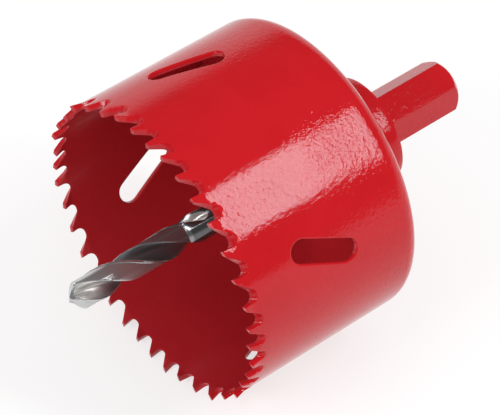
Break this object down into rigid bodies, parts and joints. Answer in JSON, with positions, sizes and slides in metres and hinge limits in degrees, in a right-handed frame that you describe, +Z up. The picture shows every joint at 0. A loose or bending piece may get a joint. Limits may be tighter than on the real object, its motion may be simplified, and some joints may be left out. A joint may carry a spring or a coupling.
{
  "type": "hole saw",
  "caption": "Hole saw with a set-toothed cup, slanted wall slots, a twist pilot drill through its middle and a hex shank for a drill chuck.",
  "frame": {"origin": "under the middle of the saw's length, on the floor it lies on", "axes": "+X along the saw's axis from the drill's point to the shank's end, +Z up, the saw lying on its side"},
  "size_m": [0.0988, 0.0674, 0.0674],
  "materials": {
    "red_enamel": "glossy baked enamel over steel",
    "ground_steel": "bright ground steel"
  },
  "bodies": {
    "root": {"toothed_shell": "red_enamel", "back_plate": "red_enamel", "arbor": "red_enamel", "pilot_drill": "ground_steel", "set_screw": "ground_steel"}
  },
  "joints": []
}
